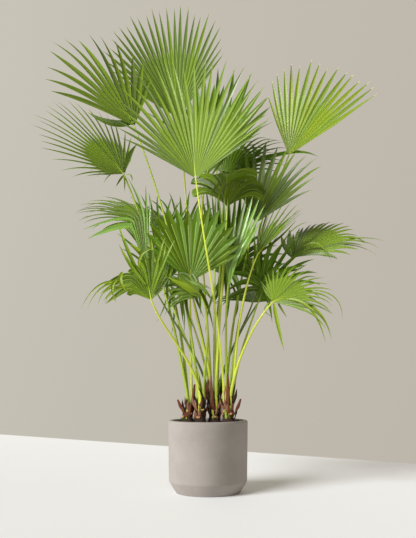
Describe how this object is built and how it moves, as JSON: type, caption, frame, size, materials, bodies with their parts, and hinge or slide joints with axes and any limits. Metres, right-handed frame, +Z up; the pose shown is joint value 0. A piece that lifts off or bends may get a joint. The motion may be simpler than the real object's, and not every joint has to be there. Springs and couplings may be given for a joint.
{
  "type": "potted fan palm",
  "caption": "Clump of fan palms with pleated fan-shaped leaves on long slender stalks, rooted in a plain round pot; an indoor plant that stands on the floor.",
  "frame": {"origin": "centre of the pot's flat underside", "axes": "+Z up along the pot's axis, +X to the right and -Y towards the viewer in the picture"},
  "size_m": [1.3508, 0.8606, 1.9702],
  "materials": {
    "pot": "matte",
    "soil": "matte",
    "stem": "matte",
    "stalk": "satin",
    "leaf": "satin"
  },
  "bodies": {
    "root": {"fan_01": "leaf", "fan_02": "leaf", "fan_03": "leaf", "fan_04": "leaf", "fan_05": "leaf", "fan_06": "leaf", "fan_07": "leaf", "fan_08": "leaf", "fan_09": "leaf", "fan_10": "leaf", "fan_11": "leaf", "fan_12": "leaf", "fan_13": "leaf", "fan_14": "leaf", "fan_15": "leaf", "fan_16": "leaf", "fan_17": "leaf", "fan_18": "leaf", "fan_19": "leaf", "fan_20": "leaf", "fan_21": "leaf", "fan_22": "leaf", "fan_23": "leaf", "fan_24": "leaf", "fan_25": "leaf", "pot": "pot", "soil": "soil", "stalk_01": "stalk", "stalk_02": "stalk", "stalk_03": "stalk", "stalk_04": "stalk", "stalk_05": "stalk", "stalk_06": "stalk", "stalk_07": "stalk", "stalk_08": "stalk", "stalk_09": "stalk", "stalk_10": "stalk", "stalk_11": "stalk", "stalk_12": "stalk", "stalk_13": "stalk", "stalk_14": "stalk", "stalk_15": "stalk", "stalk_16": "stalk", "stalk_17": "stalk", "stalk_18": "stalk", "stalk_19": "stalk", "stalk_20": "stalk", "stalk_21": "stalk", "stalk_22": "stalk", "stalk_23": "stalk", "stalk_24": "stalk", "stalk_25": "stalk", "stem_a": "stem", "stem_b": "stem", "stem_c": "stem", "stem_d": "stem", "stem_e": "stem"}
  },
  "joints": []
}
